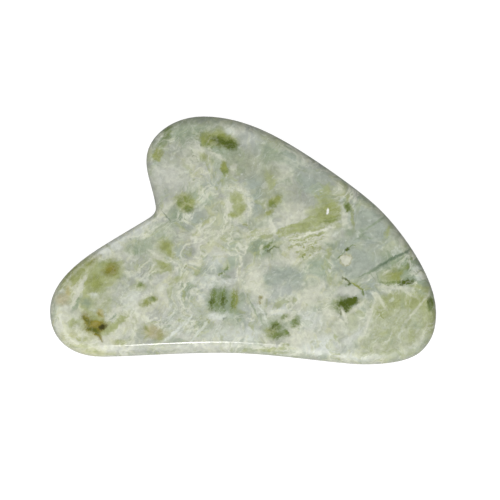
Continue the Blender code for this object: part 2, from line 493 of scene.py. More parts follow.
# Streaks that cross the green block of the broad end and the slim lobe
STREAKS = (
    Patch(OLIVE, 33.6, -18.4, 7.4, 5.6, 35, 0.3, 0.3),
    Patch(OLIVE, -27.0, -14.0, 8.0, 5.0, 30, 0.6, 0.35),
    Patch(MILK, -15.0, -17.5, 5.0, 4.0, 30, 0.5, 0.6),
    Patch(MILK, -24.5, -11.5, 5.0, 3.0, 30, 0.6, 0.7),
)

# Green stone that shows only in the back
BACK = (
    Patch(OLIVE, -34.0, -12.0, 1.7, 1.2, 30, 0.6, 0.9),
    Patch(MOSS, -33.2, -11.8, 0.8, 0.6, 30, 0.6, 0.8),
    Patch(OLIVE, -26.0, -19.0, 1.8, 0.8, -25, 0.6, 0.8),
    Patch(MOSS, -18.0, -8.0, 1.5, 0.9, 60, 0.5, 0.9),
    Patch(DEEP, -17.8, -8.2, 0.8, 0.4, 60, 0.6, 0.8),
    Patch(OLIVE, -14.0, 20.0, 1.6, 1.5, 0, 0.6, 0.9),
    Patch(MOSS, -6.0, 14.0, 1.8, 0.7, -40, 0.5, 0.9),
    Patch(OLIVE, -3.0, -2.0, 1.9, 1.4, 20, 0.6, 0.9),
    Patch(DEEP, -2.6, -2.4, 0.8, 0.6, 20, 0.6, 0.8),
    Patch(MOSS, 9.0, 12.0, 1.9, 1.1, -35, 0.5, 0.9),
    Patch(DEEP, 9.4, 11.8, 0.9, 0.5, -35, 0.6, 0.9),
    Patch(OLIVE, 10.0, -14.0, 1.8, 1.5, 0, 0.6, 0.8),
    Patch(MOSS, 19.0, -19.0, 2.0, 1.1, 40, 0.5, 0.9),
    Patch(DEEP, 30.0, -8.0, 1.6, 0.6, 25, 0.5, 0.9),
    Patch(OLIVE, 25.0, 3.0, 1.9, 1.2, -45, 0.6, 0.9),
)

# The green needles side by side below the middle, which run along a turn of NEEDLE_TURN
NEEDLES = (
    Patch(SAGE, -4.5, -13.0, 3.3, 2.7, -8, 0.4, 0.8),
    Patch(MOSS, -6.6, -12.7, 0.7, 2.4, -11, 0.5, 0.95),
    Patch(MOSS, -5.4, -12.9, 0.45, 2.5, -10, 0.6, 0.8),
    Patch(MOSS, -4.4, -12.9, 0.7, 2.3, -9, 0.5, 0.95),
    Patch(DEEP, -6.9, -13.6, 0.4, 1.3, -11, 0.6, 0.8),
    Patch(DEEP, -4.3, -13.5, 0.5, 1.2, -9, 0.6, 0.9),
    Patch(OLIVE, -1.9, -13.0, 0.95, 2.4, -6, 0.5, 0.95),
    Patch(MOSS, -2.3, -13.6, 0.4, 1.6, -6, 0.6, 0.7),
)

# Thin veins, dark and white, and a small clear-edged near-white speck
VEINS = (
    Patch(SLATE, -16.7, 5.3, 1.5, 0.16, -48, 0.6, 0.7),
    # a small near-white speck with a crisp edge
    Patch(SNOW, 18.5, 6.3, 0.3, 0.75, -22, 0.25, 1.0),
    Patch(SAGE, 29.2, 3.9, 3.0, 0.22, 35, 0.6, 0.8),
    Patch(SAGE, 25.4, 0.6, 1.6, 0.2, 40, 0.6, 0.6),
    Patch(MIST, 30.4, -1.2, 2.6, 0.2, 28, 0.6, 0.7),
    Patch(MOSS, 21.4, -3.4, 1.1, 0.1, 42, 0.6, 0.8),
    Patch(SAGE, 27.4, -7.1, 2.8, 0.24, 24, 0.6, 0.9),
    Patch(VEIN_GREEN, 31.4, -4.8, 3.2, 0.32, 29, 0.8, 0.9),
    Patch(VEIN_GREEN, 35.2, -2.8, 2.6, 0.32, 27, 0.8, 0.8),
    Patch(SAGE, 29.6, -8.2, 0.18, 1.4, 20, 0.6, 0.7),
    Patch(SAGE, 28.4, -8.0, 0.14, 1.1, 30, 0.6, 0.6),
    Patch(OLIVE, 25.0, -10.0, 1.5, 0.2, -32, 0.5, 0.9),
    Patch(MOSS, 26.2, -11.3, 0.2, 0.9, 12, 0.5, 0.8),
    Patch(CREAM, 33.6, -10.4, 4.0, 0.3, -3, 0.6, 0.7),
    Patch(IVORY, 38.2, -14.8, 4.6, 0.3, 50, 0.6, 0.5),
    Patch(IVORY, 36.6, -11.8, 2.2, 0.3, -30, 0.6, 0.45),
    Patch(IVORY, 30.2, -13.0, 2.4, 0.3, -60, 0.6, 0.55),
    Patch(IVORY, 27.6, -17.2, 0.4, 4.6, -18, 0.6, 0.65),
    Patch(IVORY, 22.2, -16.6, 0.3, 1.8, 20, 0.6, 0.8),
    Patch(CREAM, 25.0, -14.6, 2.4, 0.3, 40, 0.6, 0.8),
    Patch(MILK, -14.4, -19.6, 3.0, 0.3, 48, 0.6, 0.8),
    Patch(MILK, -9.6, -20.0, 3.4, 0.28, 50, 0.6, 0.7),
    Patch(MILK, -16.0, -21.0, 2.2, 0.26, 42, 0.6, 0.7),
    Patch(MILK, -12.4, -18.2, 2.4, 0.22, 55, 0.6, 0.6),
    Patch(SAGE, 2.2, -14.6, 2.8, 0.24, -62, 0.7, 0.7),
    Patch(SAGE, 4.0, -17.2, 1.6, 0.2, -70, 0.7, 0.6),
    Patch(MILK, 4.4, -16.0, 2.4, 0.2, -65, 0.6, 0.6),
)

# Pale frost round some of the green stone
HALOS = (
    Patch(IVORY, -1.0, 8.0, 3.1, 4.1, -5, 0.25, 0.9),
    Patch(CREAM, 9.6, 7.2, 2.2, 1.6, 20, 0.5, 0.4),
    Patch(CREAM, -17.6, -3.4, 3.4, 2.6, -40, 0.5, 0.6),
    Patch(IVORY, -36.0, -11.0, 4.4, 0.7, 66, 0.4, 0.9),
    Patch(IVORY, -30.6, -12.6, 2.6, 1.2, 40, 0.6, 0.6),
    Patch(IVORY, -30.0, -3.9, 3.4, 0.6, 10, 0.5, 0.7),
    Patch(IVORY, -28.0, -20.6, 3.4, 1.3, 35, 0.5, 0.8),
    Patch(IVORY, -28.6, -16.2, 3.0, 0.8, 42, 0.5, 0.8),
    Patch(IVORY, -36.4, -19.4, 2.6, 0.7, -60, 0.5, 0.8),
    Patch(IVORY, -20.8, -13.4, 3.0, 1.9, 28, 0.4, 0.5),
    Patch(MILK, -5.0, -9.4, 3.4, 0.8, 10, 0.5, 0.7),
    Patch(MILK, -4.4, -16.6, 3.0, 0.7, 0, 0.5, 0.7),
    Patch(IVORY, 8.4, -17.4, 2.4, 0.7, 30, 0.5, 0.6),
    Patch(IVORY, 10.0, -21.0, 1.4, 2.2, 20, 0.5, 0.6),
    Patch(IVORY, 19.0, -14.0, 1.6, 3.4, 0, 0.5, 0.7),
    Patch(MILK, 14.6, -17.2, 2.4, 2.4, 0, 0.6, 0.8),
    Patch(PEARL, -12.0, -23.3, 10.0, 1.2, 0, 0.5, 0.8),
    Patch(IVORY, 2.6, -8.0, 1.3, 4.4, 10, 0.5, 0.6),
    Patch(CREAM, -6.8, 18.4, 3.0, 0.5, -30, 0.5, 0.5),
)

# Green stone shut in the jade, darker towards its cores, with pale edges round some of it
INCLUSIONS = (
    # under the top edge of the upper lobe
    Patch(OLIVE, -7.8, 22.1, 1.9, 1.6, 10, 0.62, 0.85),
    Patch(OLIVE, -5.4, 23.3, 1.6, 1.3, 10, 0.72, 0.7),
    Patch(OLIVE, -4.4, 21.9, 3.2, 1.4, -12, 0.5, 0.85),
    Patch(DEEP, -5.4, 21.9, 1.9, 0.8, -25, 0.7, 0.85),
    Patch(DEEP, -3.0, 21.1, 1.9, 1.0, -16, 0.6, 0.95),
    Patch(MOSS, -7.4, 21.0, 1.2, 0.5, 0, 0.8, 0.5),
    Patch(PEARL, -10.1, 20.7, 0.6, 1.2, 0, 0.5, 0.8),
    Patch(MOSS, -16.6, 23.5, 1.9, 0.95, 75, 0.42, 0.85),
    Patch(MOSS, -18.0, 21.1, 0.6, 0.9, 0, 0.72, 0.6),
    Patch(OLIVE, -18.7, 18.8, 1.5, 1.1, 60, 0.42, 0.9),
    Patch(OLIVE, -8.7, 18.5, 0.9, 0.7, -45, 0.62, 0.6),
    Patch(CREAM, -5.8, 18.7, 2.4, 0.4, -28, 0.5, 0.8),
    Patch(OLIVE, -4.1, 16.0, 0.75, 1.6, 5, 0.42, 0.9),
    Patch(MOSS, -4.0, 14.9, 0.5, 0.5, 0, 0.6, 0.6),
    Patch(PALE_OLIVE, -4.4, 12.9, 0.5, 0.7, 0, 0.6, 0.6),
    Patch(CREAM, -2.1, 15.6, 0.7, 1.2, -15, 0.5, 0.7),
    Patch(SAGE, -13.3, 21.6, 0.4, 1.4, 15, 0.6, 0.6),
    # along the middle
    Patch(OLIVE, -12.6, 8.3, 2.3, 1.9, -20, 0.45, 0.85),
    Patch(MOSS, -11.9, 6.9, 0.9, 0.7, -20, 0.72, 0.8),
    Patch(MOSS, -13.9, 8.1, 0.6, 0.8, 0, 0.7, 0.6),
    Patch(MOSS, -12.3, 8.9, 0.7, 0.7, 0, 0.7, 0.5),
    Patch(PALE_OLIVE, -1.6, 9.4, 1.5, 1.3, 0, 0.37, 0.8),
    Patch(PALE_OLIVE, -0.9, 7.4, 1.6, 2.2, 0, 0.37, 0.85),
    Patch(PALE_OLIVE, -2.0, 5.8, 1.2, 0.8, 0, 0.42, 0.85),
    Patch(OLIVE, -2.3, 5.7, 0.6, 0.5, 0, 0.7, 0.6),
    Patch(OLIVE, -0.3, 6.8, 0.6, 0.9, 0, 0.8, 0.5),
    Patch(OLIVE, 7.0, 8.7, 1.7, 1.0, 45, 0.52, 0.9),
    Patch(MOSS, 6.4, 7.9, 0.7, 0.7, 0, 0.7, 0.6),
    Patch(OLIVE, 5.7, 6.1, 0.9, 0.6, 20, 0.52, 0.85),
    Patch(PALE_OLIVE, 5.8, 13.4, 0.8, 1.6, 15, 0.72, 0.8),
    Patch(PALE_OLIVE, 6.6, 12.2, 1.6, 0.4, 50, 0.6, 0.7),
    Patch(OLIVE, 0.4, 3.4, 0.6, 0.3, 10, 0.6, 0.6),
    Patch(PALE_OLIVE, 5.0, 1.0, 1.2, 0.7, 10, 0.72, 0.7),
    Patch(OLIVE, -3.6, 2.1, 0.9, 0.35, 0, 0.8, 0.3),
    # round the big crystal
    Patch(IVORY, 6.4, 3.0, 0.6, 1.8, 20, 0.4, 0.85),
    Patch(CREAM, 10.6, 4.9, 3.8, 0.45, 24, 0.5, 0.7),
    Patch(IVORY, 16.4, 1.9, 6.2, 0.3, 17, 0.4, 0.9),
    Patch(CREAM, 22.4, 5.4, 0.6, 2.5, -12, 0.4, 0.6),
    Patch(MOSS, 22.9, 7.4, 0.9, 1.0, 0, 0.5, 0.95),
    Patch(DEEP, 22.9, 7.2, 0.4, 0.5, 0, 0.7, 0.7),
    Patch(OLIVE, 23.0, 9.6, 0.35, 1.2, 0, 0.6, 0.5),
    Patch(OLIVE, 24.0, 4.8, 0.3, 2.6, 4, 0.6, 0.6),
    Patch(PALE_OLIVE, 18.4, 11.3, 1.2, 0.8, 20, 0.62, 0.75),
    Patch(PALE_OLIVE, 20.9, 3.2, 0.9, 0.5, 30, 0.62, 0.7),
    Patch(SAGE, 23.4, 1.8, 1.1, 0.7, 0, 0.72, 0.8),
    Patch(SAGE, 26.2, 1.5, 0.5, 1.2, 20, 0.72, 0.7),
    Patch(SAGE, 27.8, 0.7, 0.6, 0.3, -20, 0.6, 0.7),
    Patch(PALE_OLIVE, 31.8, 2.1, 0.5, 1.5, -20, 0.62, 0.85),
    Patch(DEEP, 22.8, -2.1, 0.8, 0.45, 32, 0.35, 0.95),
    Patch(MOSS, 23.9, -1.4, 0.7, 0.14, 20, 0.6, 0.8),
    Patch(OCHRE, 22.5, -4.2, 1.5, 1.2, 25, 0.15, 0.6),
    Patch(CREAM, 22.5, -4.2, 1.3, 1.0, 25, 0.15, 1.0),
    # a tiny near-white speck
    Patch(MILK, 19.0, -6.6, 0.4, 0.35, 0, 0.4, 0.9),
    Patch(PALE_OLIVE, 18.8, -2.5, 0.6, 1.1, 0, 0.72, 0.75),
    Patch(MOSS, 13.1, -3.8, 0.32, 0.42, 0, 0.5, 0.9),
    Patch(OLIVE, 11.8, -2.4, 0.45, 0.25, 0, 0.5, 0.8),
    # the vein and the stone under it
    Patch(SAGE, 32.0, -5.6, 2.2, 0.5, 25, 0.8, 0.6),
    Patch(PALE_OLIVE, 32.4, -8.1, 2.6, 1.5, 0, 0.6, 0.8),
    Patch(OLIVE, 33.4, -7.6, 1.5, 1.2, 0, 0.8, 0.7),
    Patch(MOSS, 32.8, -9.4, 2.8, 0.3, 0, 0.5, 0.8),
    Patch(CREAM, 31.4, -7.0, 1.0, 0.3, 30, 0.6, 0.6),
    Patch(OLIVE, 34.3, -8.0, 0.4, 1.4, -15, 0.6, 0.7),
    Patch(MOSS, 34.6, -6.3, 0.7, 0.5, 20, 0.6, 0.6),
    Patch(MOSS, 36.0, -5.8, 0.5, 1.1, -10, 0.72, 0.75),
    Patch(SAGE, 35.9, -7.8, 1.0, 1.0, 0, 0.72, 0.9),
    Patch(DEEP, 35.9, -9.15, 1.5, 0.5, 15, 0.45, 1.0),
    Patch(DEEP, 34.6, -9.9, 0.8, 0.22, 30, 0.6, 0.7),
    Patch(MILK, 38.6, -8.2, 0.9, 0.7, 0, 0.62, 0.6),
    Patch(MILK, 37.8, -6.1, 0.7, 0.6, 0, 0.6, 0.6),
    Patch(MOSS, 37.1, -3.9, 0.8, 0.22, 20, 0.6, 0.8),
    Patch(MOSS, 38.6, -6.9, 0.9, 0.2, 40, 0.6, 0.7),
    Patch(PALE_OLIVE, 38.9, -10.4, 2.4, 0.6, -14, 0.62, 0.9),
    Patch(PALE_OLIVE, 38.2, -12.7, 1.6, 0.5, 0, 0.62, 0.8),
    Patch(MOSS, 41.2, -14.0, 0.9, 1.6, 0, 0.52, 0.9),
    Patch(DEEP, 41.0, -13.4, 0.6, 0.8, 15, 0.6, 0.8),
    # the pale block and the dark one under it
    Patch(PEARL, 23.0, -11.2, 2.8, 1.3, 5, 0.25, 0.95),
    Patch(LAVENDER, 22.0, -12.2, 1.6, 0.5, 0, 0.72, 0.6),
    Patch(DEEP, 22.8, -8.85, 1.1, 0.32, -32, 0.4, 0.9),
    Patch(MOSS, 21.8, -14.0, 2.2, 1.5, 10, 0.7, 0.9),
    Patch(DEEP, 22.9, -13.6, 2.0, 0.9, 10, 0.4, 1.0),
    Patch(DEEP, 22.4, -14.1, 1.5, 1.0, 20, 0.6, 0.9),
    Patch(DEEP, 24.2, -13.1, 1.3, 0.6, 12, 0.32, 1.0),
    Patch(DEEP, 22.2, -14.8, 0.9, 0.8, 30, 0.42, 1.0),
    Patch(DEEP, 21.7, -15.6, 0.35, 0.8, -5, 0.5, 0.9),
    Patch(CREAM, 22.2, -16.2, 0.5, 1.4, 20, 0.5, 0.8),
    Patch(CREAM, 24.6, -14.9, 1.6, 0.5, 35, 0.5, 0.7),
    Patch(LIME, 24.0, -18.2, 1.6, 2.1, 0, 0.5, 0.8),
    Patch(PALE_OLIVE, 20.4, -21.3, 0.5, 0.8, 0, 0.6, 0.7),
    Patch(OLIVE, 33.6, -13.6, 1.3, 0.14, 50, 0.6, 0.6),
    Patch(OLIVE, 30.4, -16.4, 1.5, 0.2, -55, 0.6, 0.7),
    Patch(OLIVE, 36.1, -13.6, 0.9, 0.15, -60, 0.6, 0.5),
    Patch(PALE_OLIVE, 36.9, -21.2, 0.7, 1.3, 0, 0.72, 0.6),
    Patch(PALE_OLIVE, 31.0, -20.4, 1.4, 0.6, 20, 0.8, 0.6),
    # below the middle
    Patch(MOSS, 5.4, -1.2, 1.5, 0.35, 35, 0.5, 0.85),
    Patch(DEEP, 6.0, -2.0, 0.9, 0.3, 30, 0.5, 0.8),
    Patch(MOSS, 7.0, -1.6, 0.8, 0.25, 15, 0.5, 0.7),
    Patch(MOSS, -6.2, -15.4, 0.25, 0.25, 0, 0.5, 0.8),
    Patch(MOSS, -4.1, -15.4, 0.2, 0.4, 0, 0.5, 0.8),
    Patch(SLATE, -4.1, -17.2, 0.5, 0.3, 30, 0.5, 0.8),
    Patch(MOSS, -5.0, -7.3, 0.45, 0.35, 0, 0.5, 0.8),
    Patch(MOSS, -3.7, -6.2, 0.3, 0.9, -15, 0.6, 0.7),
    Patch(SAGE, -3.6, -8.1, 0.8, 0.4, 0, 0.6, 0.7),
    Patch(MOSS, -12.6, -5.9, 0.2, 0.5, -20, 0.6, 0.8),
    Patch(BRONZE, 3.8, -12.6, 0.45, 0.5, 0, 0.7, 0.7),
    Patch(BRONZE, 3.8, -13.6, 0.55, 0.35, 0, 0.7, 0.7),
    Patch(SAGE, 7.4, -19.4, 2.6, 2.2, 0, 0.6, 0.6),
    Patch(MOSS, 7.2, -18.7, 1.2, 1.1, -10, 0.6, 0.9),
    Patch(OLIVE, 6.2, -20.2, 1.3, 1.0, 0, 0.7, 0.9),
    Patch(MOSS, 7.8, -20.8, 1.8, 0.8, 12, 0.7, 0.8),
    Patch(DEEP, 7.0, -18.8, 0.7, 0.45, 20, 0.7, 0.8),
    Patch(DEEP, 7.9, -21.1, 0.9, 0.3, 10, 0.7, 0.7),
    Patch(DEEP, 6.2, -19.6, 0.4, 0.4, 0, 0.7, 0.6),
    Patch(MOSS, 9.2, -16.8, 0.9, 0.5, 30, 0.7, 0.8),
    Patch(MOSS, 11.6, -17.9, 0.9, 1.3, -20, 0.6, 0.85),
    Patch(SAGE, 10.6, -18.1, 0.5, 0.2, 0, 0.5, 0.7),
    Patch(MOSS, 9.5, -20.2, 0.9, 0.4, -40, 0.6, 0.9),
    Patch(PALE_OLIVE, 6.9, -23.9, 3.0, 0.55, 3, 0.5, 0.95),
    Patch(PALE_OLIVE, 9.2, -22.9, 0.8, 0.35, 10, 0.6, 0.7),
    # between the slim lobe and the middle
    Patch(PALE_OLIVE, -17.0, -1.4, 2.0, 1.6, -30, 0.6, 0.7),
    Patch(OLIVE, -17.0, -1.1, 1.4, 1.2, 0, 0.7, 0.7),
    Patch(OLIVE, -15.9, -2.9, 1.1, 0.7, -45, 0.72, 0.7),
    Patch(PALE_OLIVE, -17.6, -5.2, 2.3, 1.1, -35, 0.6, 0.75),
    Patch(OLIVE, -17.2, -5.6, 1.2, 0.6, -35, 0.7, 0.6),
    Patch(CREAM, -18.9, -3.3, 2.4, 0.4, -35, 0.5, 0.8),
    Patch(PALE_OLIVE, -14.2, -8.4, 1.5, 0.6, 30, 0.8, 0.7),
    Patch(PALE_OLIVE, -22.6, -9.9, 1.5, 0.9, -10, 0.7, 0.7),
    Patch(MOSS, -22.7, -9.7, 0.8, 0.6, 0, 0.7, 0.9),
    Patch(LAVENDER, -24.3, -9.0, 0.8, 1.0, 0, 0.72, 0.8),
    Patch(OLIVE, -20.7, -13.3, 2.0, 0.9, 28, 0.6, 0.9),
    Patch(MOSS, -19.8, -12.8, 0.6, 0.4, -30, 0.6, 0.8),
    Patch(PALE_OLIVE, -13.0, -12.0, 0.3, 1.5, 0, 0.6, 0.7),
    Patch(OCHRE, -19.6, -20.2, 2.1, 1.4, -15, 0.7, 0.6),
    Patch(TAN, -19.2, -20.4, 1.6, 1.1, -15, 0.7, 0.6),
    Patch(OLIVE, -21.2, -19.2, 0.8, 0.4, -40, 0.6, 0.7),
    Patch(OLIVE, -18.1, -21.0, 0.6, 0.9, 20, 0.72, 0.5),
    Patch(OLIVE, -21.4, -21.3, 0.8, 0.3, 45, 0.6, 0.5),
    Patch(PALE_OLIVE, -8.6, -18.9, 1.6, 0.35, 60, 0.6, 0.7),
    Patch(OLIVE, -7.6, -17.6, 0.35, 0.5, 0, 0.6, 0.7),
    # the slim lobe
    Patch(OLIVE, -36.4, -6.9, 4.4, 1.9, 42, 0.52, 0.8),
    Patch(BRONZE, -32.9, -4.4, 1.4, 0.6, 50, 0.72, 0.6),
    Patch(BRONZE, -31.3, -3.4, 0.6, 0.4, -40, 0.6, 0.5),
    Patch(PALE_OLIVE, -31.0, -8.0, 4.6, 3.0, 35, 0.6, 0.8),
    Patch(OLIVE, -32.5, -9.4, 1.9, 2.2, 0, 0.6, 0.8),
    Patch(OLIVE, -33.4, -5.4, 1.8, 1.3, 40, 0.7, 0.6),
    Patch(OLIVE, -28.8, -6.4, 2.1, 2.0, 0, 0.5, 0.9),
    Patch(BRONZE, -29.0, -6.5, 1.3, 1.1, 0, 0.8, 0.8),
    Patch(PALE_OLIVE, -34.0, -13.4, 2.4, 2.4, 0, 0.7, 0.6),
    Patch(OLIVE, -29.8, -13.4, 1.2, 1.6, 0, 0.8, 0.4),
    Patch(PALE_OLIVE, -26.9, -4.9, 1.0, 0.4, 10, 0.6, 0.6),
    Patch(CREAM, -36.0, -11.0, 4.0, 0.5, 66, 0.4, 0.9),
    Patch(SAGE, -36.4, -13.9, 2.0, 0.45, 60, 0.62, 0.8),
    Patch(SAGE, -34.2, -13.6, 1.2, 0.9, 0, 0.72, 0.8),
    Patch(MILK, -32.6, -12.0, 0.9, 0.6, 0, 0.72, 0.7),
    Patch(OCHRE, -38.4, -11.1, 0.5, 1.1, 0, 0.6, 0.9),
    Patch(TAN, -39.6, -12.9, 1.5, 1.3, 0, 0.72, 0.8),
    Patch(MILK, -39.8, -11.0, 0.6, 0.5, 0, 0.6, 0.7),
    Patch(PALE_OLIVE, -37.3, -18.1, 1.2, 0.7, 35, 0.62, 0.9),
    Patch(OCHRE, -31.3, -16.0, 0.7, 1.0, 20, 0.6, 0.9),
    Patch(BRONZE, -31.4, -16.3, 0.4, 0.5, 20, 0.6, 0.6),
    Patch(OLIVE, -32.4, -18.6, 2.7, 1.9, -20, 0.6, 0.85),
    Patch(BRONZE, -33.9, -17.8, 2.2, 0.9, -52, 0.5, 0.9),
    Patch(BRONZE, -32.1, -19.0, 2.2, 1.3, 8, 0.45, 1.0),
    Patch(BRONZE, -31.9, -20.8, 1.7, 0.5, -48, 0.4, 0.95),
    Patch(DEEP, -32.7, -19.7, 1.4, 0.5, -35, 0.7, 0.8),
    Patch(DEEP, -34.3, -17.5, 1.2, 0.35, -48, 0.7, 0.5),
    Patch(BLACK_GREEN, -30.8, -18.9, 0.9, 0.7, 10, 0.6, 0.9),
    Patch(GOLD, -32.4, -18.3, 1.1, 0.5, 20, 0.8, 0.7),
    Patch(PALE_OLIVE, -27.9, -18.4, 3.4, 0.8, 41, 0.5, 0.95),
    Patch(SAGE, -28.5, -16.8, 1.3, 0.12, 44, 0.5, 0.8),
    Patch(PALE_OLIVE, -35.4, -21.8, 1.2, 0.5, 0, 0.72, 0.6),
    Patch(PALE_OLIVE, -34.6, -23.3, 1.2, 0.6, -20, 0.72, 0.6),
    Patch(STRAW, -33.6, -24.8, 3.0, 0.9, -5, 0.7, 0.7),
    Patch(PALE_OLIVE, -32.3, -24.4, 0.7, 0.5, -20, 0.5, 0.8),
    Patch(PALE_OLIVE, -27.2, -22.3, 0.9, 0.5, 10, 0.72, 0.7),
)


Cloud = namedtuple("Cloud", "tint seed scale start end strength")

# Clouds that run through the whole stone, under the patches. The noise is mixed in between start and
# end, and the seed moves each cloud to another place.
CLOUDS = (
    Cloud(CELADON, (0, 0, 0), 0.12, 0.42, 0.56, 0.8),
    Cloud(CREAM, (0, 40, 0), 0.16, 0.5, 0.62, 0.8),
    Cloud(SAGE, (40, 0, 0), 0.2, 0.52, 0.64, 0.7),
    Cloud(LAVENDER, (0, 0, 40), 0.2, 0.52, 0.66, 0.6),
    Cloud(LIME, (40, 40, 0), 0.16, 0.52, 0.64, 0.6),
)

# Smaller clouds over the broad tones, and those that the calm places have few of
SMALL_CLOUDS = (Cloud(SAGE, (80, 0, 0), 0.3, 0.54, 0.7, 0.5),)
CALMED_CLOUDS = (
    Cloud(PALE_OLIVE, (80, 80, 0), 0.35, 0.53, 0.66, 0.6),
    Cloud(STRAW, (80, 0, 80), 0.5, 0.53, 0.64, 0.4),
)

# The turns that the stone's grain follows, in degrees
FEATHER_TURN = 45
WISP_TURN = 48
STRIPE_TURN = 13
STREAK_TURN = 55
NEEDLE_TURN = 80

BATCH = 24
NOTHING = 1e-9
DEPTH_SHARE = 0.9  # how deep a patch reaches, for each millimetre of its length and width
UPPER_FACE = THICKNESS / MM
BACK_FACE = 0

# The polish
SMOOTHEST = 0.11
DULLEST = 0.15
DARK_DULLING = 0.08  # added over the darkest stone
SCRATCHES = ((8, (0, 0, 0)), (-17, (0, 30, 0)), (62, (30, 0, 0)))  # their turns, and where they start
SCRATCH_STRETCH = 12
SCRATCH_WIDTH = 0.004
SCRATCH_DULLING = 0.15
PIT_DEPTH = 0.02 * MM

IOR = 1.56
SCATTER_WEIGHT = 0.2
SCATTER_RADIUS = (1.0, 1.0, 0.75)
SCATTER_SCALE = 0.6 * MM


def pushed(graph, place, scale, roughness, reach):
    """The place in the stone, pushed about so that nothing in its pattern has a smooth edge."""
    push = graph.noise(place, scale, detail=5.0, roughness=roughness, output="Color")
    push = graph.vector("SUBTRACT", push, (0.5, 0.5, 0.5))
    return graph.vector("ADD", place, graph.scaled(push, reach))


def stretched(graph, place, turn, long, wide):
    """The place turned and scaled, for a texture whose grains are long one way and narrow the other."""
    inputs = {"Vector": place, "Rotation": (0, 0, math.radians(turn)), "Scale": (long, wide, wide)}
    return graph.add("Mapping", inputs, vector_type="TEXTURE").outputs["Vector"]


def cloud_over(graph, colour, clouds, flow, mask=1.0):
    """Mixes clouds over a colour, in order, as strong as the mask is."""
    for cloud in clouds:
        value = graph.noise(graph.vector("ADD", flow, cloud.seed), cloud.scale, detail=6.0, roughness=0.55)
        cover = graph.ramp(value, cloud.start, cloud.end, high=cloud.strength)
        colour = graph.mix(graph.math("MULTIPLY", cover, mask), colour, cloud.tint)
    return colour


def lay(graph, colour, patches, drift, grain=None, height=UPPER_FACE):
    """Lays soft-edged patches over a colour, in order.

    Cycles works out every patch's place before it mixes the first, and has room for about 80. So each
    batch reads its place through the colour so far, which makes it wait and shifts it by nothing.
    """
    for number, patch in enumerate(patches):
        if number % BATCH == 0:
            waiting = {0: colour, 1: (NOTHING, NOTHING, NOTHING), 2: drift}
            place = graph.add("VectorMath", waiting, operation="MULTIPLY_ADD").outputs["Vector"]
        inputs = {
            "Vector": place,
            "Location": (patch.x, patch.y, height),
            "Rotation": (0, 0, math.radians(patch.turn)),
            "Scale": (patch.long, patch.wide, DEPTH_SHARE * (patch.long + patch.wide)),
        }
        inside = graph.add("Mapping", inputs, vector_type="TEXTURE").outputs["Vector"]
        distance = graph.vector("LENGTH", inside)
        cover = graph.ramp(distance, 1 + patch.soft, 1 - patch.soft, high=patch.strength)
        if grain:
            cover = graph.math("MULTIPLY", cover, grain)
        colour = graph.mix(cover, colour, patch.tint)
    return colour


def ground_colour(graph, place, drift):
    """The pale stone: a base that darkens towards the upper lobe, partly painted shade, then clouds, broad
    tones, white threads and wisps.
    """
    # The base is paler low down and greyer towards the upper lobe: partly the stone's own tone, partly
    # painted shade of light that falls from the front.
    height = graph.add("SeparateXYZ", {"Vector": drift}).outputs["Y"]
    colour = graph.mix(graph.ramp(height, -24.0, 26.0), PEARL, LAVENDER)
    flow = pushed(graph, place, 0.13, 0.45, 14.0)
    colour = cloud_over(graph, colour, CLOUDS, flow)
    colour = lay(graph, colour, ZONES, drift)
    colour = cloud_over(graph, colour, SMALL_CLOUDS, flow)
    calm = lay(graph, graph.mix(0.0, WHITE, BLACK), CALM, drift)
    colour = cloud_over(graph, colour, CALMED_CLOUDS, flow, calm)

    feathers = graph.threads(stretched(graph, flow, FEATHER_TURN, 1.6, 1.0), 0.2, 4.0, 0.06)
    patchy = graph.noise(graph.vector("ADD", flow, (0, 80, 0)), 0.15, detail=3.0)
    feathers = graph.math("MULTIPLY", feathers, graph.ramp(patchy, 0.42, 0.6, low=0.15, high=0.7))
    feathers = graph.math("MULTIPLY", feathers, calm)
    colour = graph.mix(feathers, colour, IVORY)
    wisps = graph.noise(stretched(graph, flow, WISP_TURN, 3.2, 0.5), 0.6, detail=5.0, roughness=0.6)
    colour = graph.mix(graph.ramp(wisps, 0.54, 0.72, high=0.5), colour, MILK)
    return colour, feathers


def green_stone(graph, place, drift, ragged, colour, feathers):
    """What is shut in the pale stone: crystals, streaks, green inclusions, needles and thin veins."""
    stripes = graph.noise(stretched(graph, ragged, STRIPE_TURN, 5.0, 0.4), 1.0, detail=3.0)
    colour = lay(graph, colour, CRYSTALS, ragged, graph.ramp(stripes, 0.35, 0.6, low=0.5))
    colour = lay(graph, colour, RIBS, ragged, graph.ramp(stripes, 0.48, 0.6))
    streaks = graph.noise(stretched(graph, ragged, STREAK_TURN, 4.0, 0.4), 1.0, detail=4.0)
    colour = lay(graph, colour, STREAKS, drift, graph.ramp(streaks, 0.48, 0.66))

    mottle = graph.noise(ragged, 0.9, detail=4.0, roughness=0.6)
    mottled = graph.ramp(mottle, 0.32, 0.5, low=0.65)
    colour = lay(graph, colour, HALOS, ragged, graph.ramp(mottle, 0.6, 0.4, low=0.4))
    colour = lay(graph, colour, INCLUSIONS, ragged, mottled)
    colour = lay(graph, colour, BACK, ragged, mottled, height=BACK_FACE)
    needles = graph.noise(stretched(graph, ragged, NEEDLE_TURN, 5.0, 0.3), 1.0, detail=3.0)
    colour = lay(graph, colour, NEEDLES, ragged, graph.ramp(needles, 0.36, 0.54, low=0.3))

    colour = graph.mix(graph.math("MULTIPLY", feathers, 0.4), colour, IVORY)
    return lay(graph, colour, VEINS, pushed(graph, place, 0.9, 0.6, 1.3))


